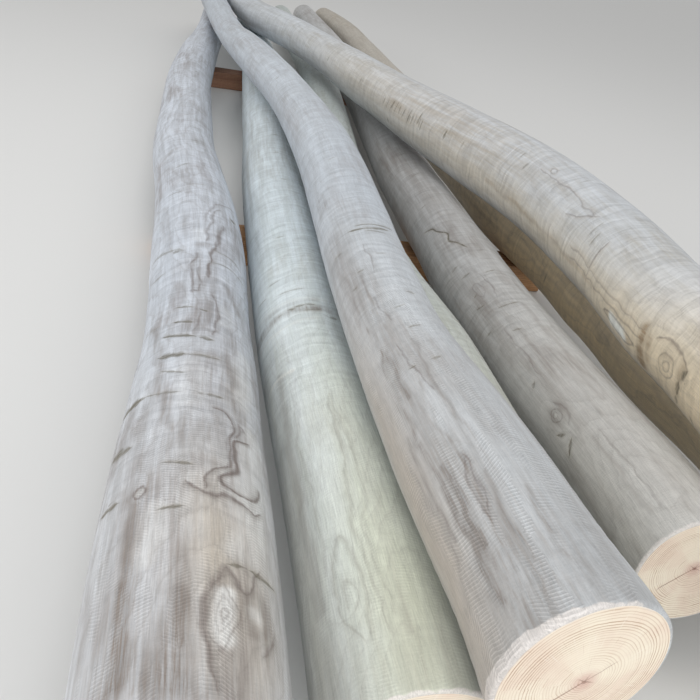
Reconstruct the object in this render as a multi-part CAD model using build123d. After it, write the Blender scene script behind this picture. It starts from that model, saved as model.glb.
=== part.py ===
from build123d import *
import os
import numpy as np

# A stack of seven crooked round wooden posts on two timber bearers.
# Natural round posts, peeled and sanded, as sold for play areas and fencing. Five lie side by side
# on the bearers and two lie on top, in the hollows between those below. X runs across the stack,
# Y from the thick butt ends to the thin tops, Z up. Sizes are in millimetres.

# Stock sizes
post_length = 4000.0      # length that the posts are cut to
rim_chamfer = 5.0         # edge taken off round both cut ends
bearer_width = 90.0       # sawn bearer, along the posts
bearer_height = 60.0
bearer_edge = 3.0         # worn arris of a bearer
bearer_inset = 15.0       # how far a bearer ends inside the outer posts' flanks

# Where the bearers' middles lie, as shares of the post length from the stack's front line
near_bearer_share = 0.366
far_bearer_share = 0.764
near_bearer_at = near_bearer_share * post_length
far_bearer_at = far_bearer_share * post_length

# Fit
seat_gap = 0.3            # clearance between a post and what carries it
right_seat_gap = 1.4      # the same for the right upper post's near half, where the loft swells past its line
section_spacing = 160.0   # between the cross-sections that a post is lofted through
end_spacing = 24.0        # from each end to one more section, which keeps the loft from swinging there
sample_step = 8.0         # spacing of the points that seats are worked out from
seat_steps = 12           # steps in which a post is brought up to its neighbour
settle_steps = 60         # steps in which an upper post is lowered on to those below
settle_share = 0.7        # part of the free drop that each of those steps takes up

# A post's stations are (distance from its butt, sideways, rise of its underside, diameter).
# Sideways is from the post's own line, rise from a straight edge laid along its underside.
# set_back is how far its butt lies behind the front line. A post is cut off at post_length,
# and a longer one keeps the bend and taper of its last stations.
post_left = dict(
    set_back=0.0,
    stations=[(0, 0, 0, 185), (400, 1, 0, 182), (640, 6, 2, 168), (870, 12, 3, 156),
              (1170, 10, 0, 165), (1410, -2, 1, 155), (1800, -27, 2, 147), (2300, -27, 3, 141),
              (2900, 2, 0, 137), (3170, 26, 0, 124), (3420, 47, 2, 118), (3720, 61, 3, 110),
              (4000, 69, 3, 102)],
)
post_second = dict(
    set_back=190.0,
    stations=[(0, 4, 0, 168), (300, 0, 0, 163), (680, -14, 3, 156), (760, -13, 3, 158),
              (1000, -13, 2, 155), (1350, -9, 0, 152), (1800, 9, 2, 147), (2200, 21, 3, 143),
              (2600, 36, 1, 137), (3100, 46, 0, 129), (3600, 50, 3, 121), (4000, 52, 4, 113)],
)
post_under = dict(
    set_back=270.0,
    stations=[(0, 4, 0, 142), (400, 0, 0, 138), (650, -10, 2, 135), (840, -34, 2, 133),
              (1150, -42, 0, 131), (1500, -22, 2, 128), (1820, 2, 3, 125), (2260, 39, 1, 121),
              (2800, 57, 0, 117), (3400, 54, 3, 112), (4000, 34, 4, 107)],
)
post_inner = dict(
    set_back=399.0,
    stations=[(0, -2, 0, 158), (130, -4, 0, 152), (290, -19, 0, 151), (550, -44, 2, 149),
              (750, -51, 2, 148), (990, -46, 0, 144), (1300, -46, 1, 141), (1730, -29, 3, 138),
              (2230, -5, 2, 133), (2830, 2, 0, 126), (3400, -8, 3, 119), (4000, -28, 4, 112)],
)
post_right = dict(
    set_back=420.0,
    stations=[(0, -22, 0, 160), (310, -45, 0, 156), (480, -66, 1, 154), (560, -67, 1, 153),
              (640, -66, 2, 152), (920, -81, 1, 149), (1150, -106, 0, 146), (1450, -111, 2, 143),
              (1850, -118, 3, 139), (2500, -125, 1, 131), (3100, -121, 0, 123), (3470, -124, 3, 118),
              (3760, -148, 4, 115), (4000, -190, 4, 111)],
)
post_top_left = dict(
    set_back=165.0,
    stations=[(0, 8, -13, 155), (60, 4, -8, 146), (220, -13, -1, 141), (340, -25, 4, 131), (475, -33, 8, 120),
              (675, -35, 10, 120), (900, -27, 4, 124), (1180, -21, 2, 126), (1450, -33, 8, 118),
              (1755, -57, 10, 109), (2125, -114, 11, 110), (2525, -166, 5, 93), (3320, -213, -16, 102),
              (4000, -245, -30, 94)],
)
post_top_right = dict(
    set_back=70.0,
    stations=[(0, -6, 0, 176), (400, -8, 0, 170), (760, -5, 0, 165), (980, -1, 1, 168), (1120, -12, 4, 168),
              (1250, -31, 7, 167), (1390, -70, 10, 164), (1520, -110, 15, 158), (1690, -160, 19, 148),
              (1890, -196, 18, 139), (2160, -240, 12, 134), (2490, -286, 8, 120), (2820, -367, 5, 119),
              (3170, -484, 2, 117), (3500, -529, 0, 107), (4000, -550, 0, 98)],
)

# Gaps between the posts of the lower layer, at their closest
gap_left_second = 4.0
gap_second_under = 22.0
gap_under_inner = 16.5
gap_inner_right = 1.5

# Degrees that a butt is cut out of square, turned about the upright
butt_skew = dict(post_top_left=-5.0)

# Where each upper post's butt lies, sideways from the butt of the post that carries it
top_left_offset = 83.5
top_right_offset = -122.5


def smooth_line(post):
    """The post's centre line and radius, sampled evenly along its length as columns x, y, z, r."""
    table = np.array(post["stations"], float)
    along = np.linspace(0.0, post_length, round(post_length / sample_step) + 1)
    side, rise, diameter = (monotone(table[:, 0], table[:, k], along) for k in (1, 2, 3))
    radius = diameter / 2
    return np.column_stack([side, along + post["set_back"], rise + radius, radius])


def monotone(x, y, at):
    """A smooth curve through the stations that never swings past them, and runs on straight."""
    width = np.diff(x)
    slope = np.diff(y) / width
    tangent = np.r_[slope[0], (slope[1:] + slope[:-1]) / 2, slope[-1]]
    turning = np.r_[False, slope[1:] * slope[:-1] <= 0, False]
    tangent[turning] = 0.0
    for k, s in enumerate(slope):
        limit = 3 * abs(s)
        tangent[k] = np.clip(tangent[k], -limit, limit)
        tangent[k + 1] = np.clip(tangent[k + 1], -limit, limit)
    beyond = np.maximum(at - x[-1], 0.0)
    inside = at - beyond
    span = np.clip(np.searchsorted(x, inside, side="right") - 1, 0, len(slope) - 1)
    t = (inside - x[span]) / width[span]
    curve = ((1 + 2 * t) * (1 - t) ** 2 * y[span] + t * (1 - t) ** 2 * width[span] * tangent[span]
             + t * t * (3 - 2 * t) * y[span + 1] + t * t * (t - 1) * width[span] * tangent[span + 1])
    return curve + beyond * tangent[-1]


def clearance(line, others):
    """For each point of a line, how far its round section lies from the nearest of the others."""
    gaps = []
    for other in others:
        between = np.linalg.norm(line[:, None, :3] - other[None, :, :3], axis=2)
        gaps.append((between - line[:, None, 3] - other[None, :, 3]).min(axis=1))
    return np.min(gaps, axis=0)


def lie_on_bearers(line):
    """Lowers and tilts a post until its underside rests on both bearers."""
    for _ in range(3):
        underside = line[:, 2] - line[:, 3]
        near_low, far_low = (underside[np.abs(line[:, 1] - at) <= bearer_width / 2].min()
                             for at in (near_bearer_at, far_bearer_at))
        tilt = (far_low - near_low) / (far_bearer_at - near_bearer_at)
        line[:, 2] += bearer_height + seat_gap - near_low - tilt * (line[:, 1] - near_bearer_at)
    return line


def lie_beside(line, neighbour, gap):
    """Moves a post sideways until it lies the given gap to the right of its neighbour."""
    right_flank = (neighbour[:, 0] + neighbour[:, 3]).max()
    left_flank = (line[:, 0] - line[:, 3]).min()
    line[:, 0] += right_flank - left_flank + gap
    for _ in range(seat_steps):
        line[:, 0] -= clearance(line, [neighbour]).min() - gap
    return line


def lie_on_top(line, below, near_gap=seat_gap):
    """Lowers an upper post until both its halves rest on the posts below it."""
    pivots = line[[0, -1], 1]
    share = (line[:, 1] - pivots[0]) / (pivots[1] - pivots[0])
    highest = max((other[:, 2] + other[:, 3]).max() for other in below)
    line[:, 2] += highest - (line[:, 2] - line[:, 3]).min()
    for _ in range(settle_steps):
        gaps = clearance(line, below)
        drop_near = gaps[share <= 0.5].min() - near_gap
        drop_far = gaps[share > 0.5].min() - seat_gap
        line[:, 2] -= settle_share * (drop_near * (1 - share) + drop_far * share)
    return line


def round_section(point, heading, radius):
    """A round section square to the post's centre line."""
    return Plane(origin=tuple(point), x_dir=(1, 0, 0), z_dir=tuple(heading)) * Circle(radius)


def turned(heading, angle):
    """A heading turned about the upright by an angle in degrees, leftwards where it is negative."""
    x, y, z = heading
    cos, sin = np.cos(np.radians(angle)), np.sin(np.radians(angle))
    return np.array([x * cos + y * sin, y * cos - x * sin, z])


def make_post(line, skew):
    """Lofts a post through round sections, with a short cone at each end where its rim is taken off."""
    path, radius = line[:, :3].copy(), line[:, 3]
    heading = np.gradient(path, axis=0)
    heading /= np.linalg.norm(heading, axis=1)[:, None]
    heading[0] = turned(heading[0], skew)
    last = len(line) - 1
    extra = round(end_spacing / sample_step)
    picks = np.linspace(0, last, round(post_length / section_spacing) + 1).round().astype(int)
    picks = np.unique([*picks, extra, last - extra])
    near_rim, far_rim = rim_chamfer * heading[0], -rim_chamfer * heading[-1]
    path[0] += near_rim
    path[-1] += far_rim
    sections = [round_section(path[k], heading[k], radius[k]) for k in picks]
    near_face = round_section(path[0] - near_rim, heading[0], radius[0] - rim_chamfer)
    far_face = round_section(path[-1] - far_rim, heading[-1], radius[-1] - rim_chamfer)
    body = loft(sections)
    return body + loft([near_face, sections[0]], ruled=True) + loft([sections[-1], far_face], ruled=True)


def make_bearer(at, left_flank, right_flank):
    """A sawn bearer across the stack, with its arrises taken off."""
    length = right_flank - left_flank - 2 * bearer_inset
    middle = (right_flank + left_flank) / 2
    bearer = Pos(middle, at, bearer_height / 2) * Box(length, bearer_width, bearer_height)
    return chamfer(bearer.edges(), bearer_edge)


def place_posts():
    """Every post's line where it lies in the stack, by the name of its node."""
    left = lie_on_bearers(smooth_line(post_left))
    second = lie_beside(lie_on_bearers(smooth_line(post_second)), left, gap_left_second)
    under = lie_beside(lie_on_bearers(smooth_line(post_under)), second, gap_second_under)
    inner = lie_beside(lie_on_bearers(smooth_line(post_inner)), under, gap_under_inner)
    right = lie_beside(lie_on_bearers(smooth_line(post_right)), inner, gap_inner_right)
    lower = [left, second, under, inner, right]

    top_left = smooth_line(post_top_left)
    top_left[:, 0] += second[0, 0] + top_left_offset
    lie_on_top(top_left, lower)
    top_right = smooth_line(post_top_right)
    top_right[:, 0] += right[0, 0] + top_right_offset
    lie_on_top(top_right, lower, right_seat_gap)
    return {"post_left": left, "post_second": second, "post_under": under, "post_inner": inner,
            "post_right": right, "post_top_left": top_left, "post_top_right": top_right}


def main():
    lines = place_posts()
    parts = {name: make_post(line, butt_skew.get(name, 0.0)) for name, line in lines.items()}
    left, right = lines["post_left"], lines["post_right"]
    for name, at in (("bearer_near", near_bearer_at), ("bearer_far", far_bearer_at)):
        flanks_left = left[np.abs(left[:, 1] - at).argmin()]
        flanks_right = right[np.abs(right[:, 1] - at).argmin()]
        parts[name] = make_bearer(at, flanks_left[0] - flanks_left[3], flanks_right[0] + flanks_right[3])

    boxes = [shape.bounding_box() for shape in parts.values()]
    lowest = [min(getattr(box.min, axis) for box in boxes) for axis in "XYZ"]
    highest = [max(getattr(box.max, axis) for box in boxes) for axis in "XYZ"]
    centre = Pos(-(lowest[0] + highest[0]) / 2, -(lowest[1] + highest[1]) / 2, -lowest[2])
    os.makedirs("parts", exist_ok=True)
    for name, shape in parts.items():
        export_step(centre * shape, f"parts/{name}.step")


main()
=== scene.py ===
import bpy
import math
import random
import numpy as np
from mathutils import Matrix, Vector


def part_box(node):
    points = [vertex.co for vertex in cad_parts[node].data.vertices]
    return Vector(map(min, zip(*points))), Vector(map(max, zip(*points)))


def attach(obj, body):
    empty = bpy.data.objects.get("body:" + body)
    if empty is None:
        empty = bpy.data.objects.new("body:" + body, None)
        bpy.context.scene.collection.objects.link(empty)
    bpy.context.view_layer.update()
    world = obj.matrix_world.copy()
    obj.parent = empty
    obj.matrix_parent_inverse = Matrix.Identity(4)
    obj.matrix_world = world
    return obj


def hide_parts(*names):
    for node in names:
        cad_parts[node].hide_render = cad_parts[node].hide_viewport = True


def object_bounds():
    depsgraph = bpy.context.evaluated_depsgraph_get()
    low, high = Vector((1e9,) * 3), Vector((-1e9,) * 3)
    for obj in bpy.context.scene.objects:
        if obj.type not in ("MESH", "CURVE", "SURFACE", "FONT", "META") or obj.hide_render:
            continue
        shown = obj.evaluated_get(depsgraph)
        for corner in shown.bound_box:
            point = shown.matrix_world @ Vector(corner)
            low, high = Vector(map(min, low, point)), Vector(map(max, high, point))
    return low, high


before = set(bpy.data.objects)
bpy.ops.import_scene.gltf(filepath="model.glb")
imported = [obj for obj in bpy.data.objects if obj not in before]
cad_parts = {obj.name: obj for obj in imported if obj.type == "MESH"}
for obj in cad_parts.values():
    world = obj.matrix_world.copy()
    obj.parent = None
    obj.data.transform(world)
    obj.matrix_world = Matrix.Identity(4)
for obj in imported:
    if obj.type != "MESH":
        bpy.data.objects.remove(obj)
cadLow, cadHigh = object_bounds()

scene = bpy.context.scene
scene.view_settings.view_transform = "Standard"

chartRadius = 0.08     # metres round a post are measured on this radius, whatever its own

# cuts that a post's line is read from, how far they stay from its ends, and what counts as its sawn face
lineRead = dict(step=0.055, margin=0.03, squareness=0.9, faceDepth=0.05)


def readAll(items, title, size=1, kind=float):
    flat = np.zeros(len(items) * size, kind)
    items.foreach_get(title, flat)
    return flat


def pointsOf(mesh):
    return readAll(mesh.vertices, "co", 3).reshape(-1, 3)


def trianglesOf(node):
    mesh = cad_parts[node].data
    return pointsOf(mesh)[readAll(mesh.loops, "vertex_index", kind=int).reshape(-1, 3)]


def cutAcross(triangles, y):
    # where the triangles' edges cross the plane at this y
    a = triangles.reshape(-1, 3)
    b = np.roll(triangles, -1, axis=1).reshape(-1, 3)
    crossing = (a[:, 1] - y) * (b[:, 1] - y) < 0
    a, b = a[crossing], b[crossing]
    share = ((y - a[:, 1]) / (b[:, 1] - a[:, 1]))[:, None]
    return a + share * (b - a)


def endDisc(triangles, side):
    # centre and outward normal of the flat sawn face; side is -1 at the butt and 1 at the top
    edges = triangles[:, 1:] - triangles[:, :1]
    normals = np.cross(edges[:, 0], edges[:, 1])
    areas = np.linalg.norm(normals, axis=1)
    normals /= np.maximum(areas, 1e-12)[:, None]
    reach = triangles[:, :, 1] * side
    onEnd = (normals[:, 1] * side > lineRead["squareness"]) & (reach.min(1) > reach.max() - lineRead["faceDepth"])
    normal = (normals[onEnd] * areas[onEnd, None]).sum(0)
    corners = triangles[onEnd].reshape(-1, 3)
    centre = (corners.min(0) + corners.max(0)) / 2
    return centre, normal / np.linalg.norm(normal)


def smoothAt(knots, values, at):
    # a cubic through the knots; values may have several columns
    slopes = np.gradient(values, knots, axis=0)
    k = np.clip(np.searchsorted(knots, at) - 1, 0, len(knots) - 2)
    step = knots[k + 1] - knots[k]
    t = (at - knots[k]) / step
    if values.ndim > 1:
        step, t = step[:, None], t[:, None]
    return ((2 * t**3 - 3 * t**2 + 1) * values[k] + (t**3 - 2 * t**2 + t) * step * slopes[k]
            + (3 * t**2 - 2 * t**3) * values[k + 1] + (t**3 - t**2) * step * slopes[k + 1])


def postLine(node):
    # the crooked middle line of a post with its radius, and the sawn faces that end it
    triangles = trianglesOf(node)
    buttCentre, buttNormal = endDisc(triangles, -1)
    topCentre, topNormal = endDisc(triangles, 1)
    first, last = buttCentre[1] + lineRead["margin"], topCentre[1] - lineRead["margin"]
    rows = []
    for y in np.linspace(first, last, round((last - first) / lineRead["step"])):
        cut = cutAcross(triangles, y)
        low, high = cut.min(0), cut.max(0)
        rows.append([*(low + high) / 2, (high[2] - low[2]) / 2])
    rows = np.array(rows)
    ends = []
    for centre, near, beyond in ((buttCentre, rows[0], rows[1]), (topCentre, rows[-1], rows[-2])):
        share = (centre[1] - near[1]) / (near[1] - beyond[1])
        ends.append([*centre, near[3] + share * (near[3] - beyond[3])])
    rows = np.vstack([ends[0], rows, ends[1]])
    gone = np.r_[0, np.cumsum(np.linalg.norm(np.diff(rows[:, :3], axis=0), axis=1))]
    return dict(gone=gone, rows=rows, buttNormal=buttNormal, topNormal=topNormal)


roundStock = dict(nearShare=0.60, crowd=0.42, endRings=11, rim=0.0035, rimRings=4, skin=0.0002)


def selectOnly(mesh, kind, chosen):
    # picks edges or faces by what is worked out for them in object mode, then opens edit mode
    bpy.ops.object.mode_set(mode="EDIT")
    bpy.ops.mesh.select_mode(type=kind)
    bpy.ops.mesh.select_all(action="DESELECT")
    bpy.ops.object.mode_set(mode="OBJECT")
    (mesh.edges if kind == "EDGE" else mesh.polygons).foreach_set("select", chosen)
    bpy.ops.object.mode_set(mode="EDIT")


def subdivideAlong(mesh, axis, cuts):
    # cuts the edges that run along one axis of a fresh primitive
    points = pointsOf(mesh)
    ends = readAll(mesh.edges, "vertices", 2, int)
    run = np.abs(points[ends[::2]] - points[ends[1::2]])
    selectOnly(mesh, "EDGE", run[:, axis] > run[:, axis].max() / 2)
    bpy.ops.mesh.subdivide(number_cuts=cuts)
    bpy.ops.object.mode_set(mode="OBJECT")


def stockMesh(name, around, cutsTwice):
    # a unit cylinder, cut into many rounds along its length and ringed on its two ends
    bpy.ops.object.select_all(action="DESELECT")
    bpy.ops.mesh.primitive_cylinder_add(vertices=around, radius=1, depth=2, end_fill_type="NGON")
    piece = bpy.context.object
    piece.name = name
    mesh = piece.data
    for _ in range(2):
        subdivideAlong(mesh, 2, cutsTwice)
    normals = readAll(mesh.polygons, "normal", 3)
    selectOnly(mesh, "FACE", np.abs(normals[2::3]) > 0.9)
    for _ in range(roundStock["endRings"]):
        bpy.ops.mesh.inset(thickness=1 / (roundStock["endRings"] + 1), use_individual=True)
    bpy.ops.mesh.poke()
    bpy.ops.object.mode_set(mode="OBJECT")
    return piece


def waves(seed, pattern, field):
    # a smooth random pattern that closes round the post
    height, turns, lengths, count = pattern
    draw = random.Random(seed)
    along, angle = field
    total = np.zeros_like(along)
    for _ in range(count):
        length = math.exp(draw.uniform(math.log(lengths[0]), math.log(lengths[1])))
        turn, sense, phase = draw.randint(*turns), draw.choice((-1, 1)), draw.uniform(0, 2 * math.pi)
        total += np.cos(turn * angle + sense * 2 * math.pi * along / length + phase)
    return height * (total / math.sqrt(count / 2))


def turnedFrom(angle, degrees):
    turn = angle - math.radians(degrees)
    return np.degrees(np.arctan2(np.sin(turn), np.cos(turn)))


def hills(rows, field):
    # rows: mm from the butt, degrees from the top, half length (mm), half width (degrees), height
    along, angle = field
    total = np.zeros_like(along)
    for at, degrees, halfLength, halfWidth, height in rows:
        across = turnedFrom(angle, degrees) / halfWidth
        total += height * np.exp(-((along * 1000 - at) / halfLength) ** 2 - across ** 2)
    return total


# a drawn path is followed in short steps; sharp strokes are kept in layers, apart from one another (m)
strokeLayer = dict(step=0.0015, count=4, reach=0.014, keepApart=0.0095, endFade=0.004, far=0.02)


def smoothPath(points):
    # the drawn points (mm from the butt, degrees from the top) joined by a smooth curve on the unrolled post
    spots = np.array([(s / 1000, math.radians(a) * chartRadius) for s, a in points])
    knots = np.r_[0, np.cumsum(np.linalg.norm(np.diff(spots, axis=0), axis=1))]
    fine = np.linspace(0, knots[-1], max(3, round(knots[-1] / strokeLayer["step"])))
    return smoothAt(knots, spots, fine)


def besideStroke(points, field, reach):
    # for the mesh points within reach of a stroke: which they are, how far they lie off it to its
    # left (+) or right (-), how far past its ends, and the share of its length that they stand beside
    along, angle = field
    path = smoothPath(points)
    middle = np.mean([a for _, a in points])
    around = np.radians(turnedFrom(angle, middle) + middle) * chartRadius
    low, high = path.min(0) - reach, path.max(0) + reach
    near = np.flatnonzero((along > low[0]) & (along < high[0]) & (around > low[1]) & (around < high[1]))
    here = np.stack([along[near], around[near]], axis=1)
    k = np.array([((path - spot) ** 2).sum(1).argmin() for spot in here], int)
    heading = np.gradient(path, axis=0)
    heading /= np.linalg.norm(heading, axis=1)[:, None]
    away = here - path[k]
    off = heading[k, 0] * away[:, 1] - heading[k, 1] * away[:, 0]
    ahead = (heading[k] * away).sum(1)
    past = np.where(k == 0, -ahead, np.where(k == len(path) - 1, ahead, 0)).clip(0)
    close = np.hypot(off, past) < reach
    return near[close], off[close], past[close], k[close] / (len(path) - 1)


def softStrokes(rows, field, soft):
    # broad strokes, painted straight on to the mesh points
    best = np.zeros_like(field[0])
    for width, strength, points in rows:
        half = width / 2000
        near, off, past, _ = besideStroke(points, field, half * (1 + soft))
        edge = np.clip((half * (1 + soft) - np.hypot(off, past)) / (2 * half * soft), 0, 1)
        best[near] = np.maximum(best[near], strength * edge * edge * (3 - 2 * edge))
    return best


def sharpStrokes(rows, field, seed, taper, widen):
    # strokes finer than the mesh, in layers of (distance off the stroke, its half width, strength)
    # which the shader draws sharp; strokes near one another go to layers of their own
    draw = random.Random(seed)
    layers = [np.tile([strokeLayer["far"], 0, 0], (len(field[0]), 1)) for _ in range(strokeLayer["count"])]
    taken = [np.zeros(len(field[0]), bool) for _ in layers]
    for width, strength, points in rows:
        near, off, past, share = besideStroke(points, field, strokeLayer["reach"])
        beside = np.abs(off) < strokeLayer["keepApart"]
        close = near[beside]
        layer = next((k for k, used in enumerate(taken) if not used[close].any()), len(layers) - 1)
        taken[layer][close] = True
        swell = 1 + 0.3 * np.sin(share * draw.uniform(6, 14) + draw.uniform(0, 6))
        swell += 0.15 * np.sin(share * 31 + draw.uniform(0, 6))
        half = widen * width / 2000 * swell * (1 - taper * np.abs(2 * share - 1) ** 4)
        shown = strength * np.clip(1 - past / strokeLayer["endFade"], 0, 1) * beside
        better = shown >= layers[layer][near, 2]
        layers[layer][near[better]] = np.stack([off, half, shown], axis=1)[better]
    return layers


def strokeMask(layer):
    return layer[:, 2] * np.clip(1.5 - np.abs(layer[:, 0]) / np.maximum(layer[:, 1], 1e-4), 0, 1)


handWork = dict(
    # patterns: height, turns round the post, wave lengths (m), how many waves
    strayAlong=(0.0022, (1, 6), (0.04, 0.2), 10), strayRound=(0.022, (0, 4), (0.035, 0.2), 12),
    broad=(0.00045, (1, 3), (0.5, 1.6), 7), low=(0.00020, (2, 7), (0.12, 0.4), 12),
    dents=(0.00009, (0, 2), (0.014, 0.028), 9), dentedPatch=(0.6, (1, 3), (0.3, 0.9), 6),
    growth=(1.1, (1, 4), (0.35, 1.1), 8),
    # metres: height of a full swell, depth of a scar, room left for both, and how far a slanted end reaches in
    swell=0.001, scar=0.0009, room=0.0012, slant=0.16,
    lineTaper=0.4, scarTaper=0.85, scarWidth=1.45, stainSoft=0.9, paleSoft=0.6)


def roundsAlong(unit, rounds, length):
    # how far each mesh point lies from the butt, and how far it is drawn in by the rim
    rim, rimRings, inset = roundStock["rim"], roundStock["rimRings"], roundStock["skin"]
    near = roundStock["nearShare"]
    index = np.round((unit[:, 2] + 1) / 2 * rounds).astype(int)
    # the rounds stand closer together near the butt, and the outermost few turn over the rim
    inner = np.clip((index - rimRings) / (rounds - 2 * rimRings), 0, 1)
    along = rim + inset + (length - 2 * (rim + inset)) * (near * inner + (1 - near) * inner**2)
    dropIn = np.zeros_like(along)
    for count, atButt in ((index, True), (rounds - index, False)):
        over = count < rimRings
        swing = (rimRings - count[over]) / rimRings * math.pi / 2
        at = inset + rim * (1 - np.sin(swing))
        along[over] = at if atButt else length - at
        dropIn[over] = rim * (1 - np.cos(swing))
    return along, dropIn


def followLine(line, along, angle):
    # at each mesh point: the post's middle and radius, the way that it runs, and the way out of it
    gone, rows = line["gone"], line["rows"]
    place = smoothAt(gone, rows, np.clip(along, 0, gone[-1]))
    fine = np.linspace(0, gone[-1], 2001)
    slope = np.gradient(smoothAt(gone, rows[:, :3], fine), fine, axis=0)
    heading = np.stack([np.interp(along, fine, slope[:, k]) for k in range(3)], axis=1)
    heading /= np.linalg.norm(heading, axis=1)[:, None]
    side = np.cross(heading, [0, 0, 1.0])
    side /= np.linalg.norm(side, axis=1)[:, None]
    up = np.cross(side, heading)
    return place, heading, np.sin(angle)[:, None] * side + np.cos(angle)[:, None] * up


def surfaceRelief(look, field, scars):
    seed = look["seed"]
    patch = np.clip(0.5 + waves(seed + 2, handWork["dentedPatch"], field), 0, 1)
    relief = waves(seed, handWork["broad"], field) + waves(seed + 1, handWork["low"], field)
    relief += patch * waves(seed + 3, handWork["dents"], field) + handWork["swell"] * hills(look["swells"], field)
    for layer in scars:
        relief -= handWork["scar"] * strokeMask(layer)
    return np.minimum(relief - handWork["room"], 0) - roundStock["skin"]


def endPlaceOf(straight, pith, radius):
    # the pith is off the middle, and the rings of the sawn end are drawn round it
    across = straight[:, ::2]
    inside = 1 - np.clip(np.linalg.norm(across, axis=1) / radius, 0, 1) ** 2
    place = across - np.array(pith) * inside[:, None]
    return np.column_stack([place, np.linalg.norm(place, axis=1) / radius])


def buildPost(name, look):
    line = postLine(look["node"])
    length = line["gone"][-1]
    piece = stockMesh(name, look["around"], look["cutsTwice"])
    mesh = piece.data
    unit = pointsOf(mesh)
    even = np.arctan2(unit[:, 0], unit[:, 1])           # 0 on top, growing towards +X
    # the mesh is denser on the side that faces the camera
    angle = even - roundStock["crowd"] * np.sin(even - math.radians(look["facing"]))
    inward = np.hypot(unit[:, 0], unit[:, 1])           # below 1 only on the sawn ends
    onEnd = inward < 0.999
    along, dropIn = roundsAlong(unit, (look["cutsTwice"] + 1) ** 2, length)
    place, heading, outward = followLine(line, along, angle)
    # what is drawn on the post wanders a few millimetres, so that nothing on it runs ruler-straight
    seed, marks = look["seed"], look["marks"]
    field = (along + waves(seed + 5, handWork["strayAlong"], (along, angle)),
             angle + waves(seed + 6, handWork["strayRound"], (along, angle)))
    lines = sharpStrokes(marks["line"], field, seed, handWork["lineTaper"], look["lineWidth"])
    scars = sharpStrokes(marks["scar"], field, seed + 9, handWork["scarTaper"], handWork["scarWidth"])
    radius = (place[:, 3] - dropIn + surfaceRelief(look, field, scars)) * np.where(onEnd, inward, 1)
    # the two ends are sawn flat, not quite square to the post
    slide = np.zeros_like(along)
    for normal, away in ((line["buttNormal"], along), (line["topNormal"], length - along)):
        lean = (outward @ normal) / (heading @ normal)
        slide -= np.clip(1 - away / handWork["slant"], 0, 1) ** 2 * lean * radius
    points = place[:, :3] + radius[:, None] * outward + slide[:, None] * heading
    mesh.vertices.foreach_set("co", points.ravel())
    # what the materials read is kept on the mesh points
    straight = np.stack([radius * np.sin(angle), along + slide, radius * np.cos(angle)], axis=1)
    figure = waves(seed + 4, handWork["growth"], field) + hills(look["growth"], field)
    stain = softStrokes(marks["stain"], field, handWork["stainSoft"]) + hills(look["darker"], field)
    pale = softStrokes(marks["pale"], field, handWork["paleSoft"])
    kept = dict(postPlace=straight, endPlace=endPlaceOf(straight, look["pith"], place[:, 3]),
                postTone=np.stack([hills(look[key], field) for key in ("warmToneAndShade", "green", "paintedLight")], axis=1),
                postFigure=np.stack([figure, stain, pale], axis=1))
    for k in range(strokeLayer["count"]):
        kept.update({"postLine%d" % k: lines[k], "postScar%d" % k: scars[k]})
    for title, values in kept.items():
        layer = mesh.attributes.new(title, "FLOAT_VECTOR", "POINT")
        layer.data.foreach_set("vector", values.ravel())
    corner = readAll(mesh.loops, "vertex_index", kind=int)
    sawnFace = np.logical_or.reduceat(onEnd[corner], readAll(mesh.polygons, "loop_start", kind=int))
    mesh.polygons.foreach_set("material_index", sawnFace.astype(np.int32))
    mesh.polygons.foreach_set("use_smooth", np.ones(len(mesh.polygons), bool))
    mesh.update()
    # laying the cylinder along the post turns it inside out, so its faces are turned back
    bpy.ops.object.mode_set(mode="EDIT")
    bpy.ops.mesh.select_all(action="SELECT")
    bpy.ops.mesh.flip_normals()
    bpy.ops.object.mode_set(mode="OBJECT")
    return piece


def feed(socket, value):
    if isinstance(value, bpy.types.NodeSocket):
        socket.id_data.links.new(value, socket)
    elif isinstance(value, tuple) and socket.type == "RGBA":
        socket.default_value = (*value, 1)
    else:
        socket.default_value = value


def put(kind, inputs, tree=None, **settings):
    # the node goes to the tree of the first socket that feeds it, where no tree is given
    tree = tree or next(value.id_data for value in inputs.values() if isinstance(value, bpy.types.NodeSocket))
    node = tree.nodes.new("ShaderNode" + kind)
    for key, value in settings.items():
        setattr(node, key, value)
    for key, value in inputs.items():
        feed(node.inputs[key], value)
    return node


def maths(operation, a, b=0.0):
    return put("Math", {0: a, 1: b}, operation=operation).outputs[0]


def times(a, b, plus=None, clamp=False):
    # a * b, or a * b + plus
    inputs, operation = {0: a, 1: b}, "MULTIPLY"
    if plus is not None:
        inputs[2], operation = plus, "MULTIPLY_ADD"
    return put("Math", inputs, operation=operation, use_clamp=clamp).outputs[0]


def minus(a, b=0.5):
    return maths("SUBTRACT", a, b)


def vectors(operation, a, b=None, scale=None):
    node = put("VectorMath", {0: a}, operation=operation)
    if b is not None:
        feed(node.inputs[1], b)
    if scale is not None:
        feed(node.inputs["Scale"], scale)
    return node.outputs["Value" if operation == "LENGTH" else "Vector"]


def stretched(place, share):
    # the place with its length shrunk to a share, which draws a pattern out along the wood
    return vectors("MULTIPLY", place, (1.0, share, 1.0))


def apart(vector):
    return put("SeparateXYZ", {0: vector}).outputs


def joined(*values):
    return put("CombineXYZ", dict(enumerate(values))).outputs[0]


def pointValue(tree, title):
    # what buildPost keeps on the mesh points
    return put("Attribute", {}, tree, attribute_name=title).outputs["Vector"]


def blend(share, a, b, kind="MIX"):
    return put("Mix", {0: share, 6: a, 7: b}, data_type="RGBA", blend_type=kind).outputs[2]


def shaded(colour, value):
    return blend(1.0, colour, joined(value, value, value), "MULTIPLY")


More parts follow.
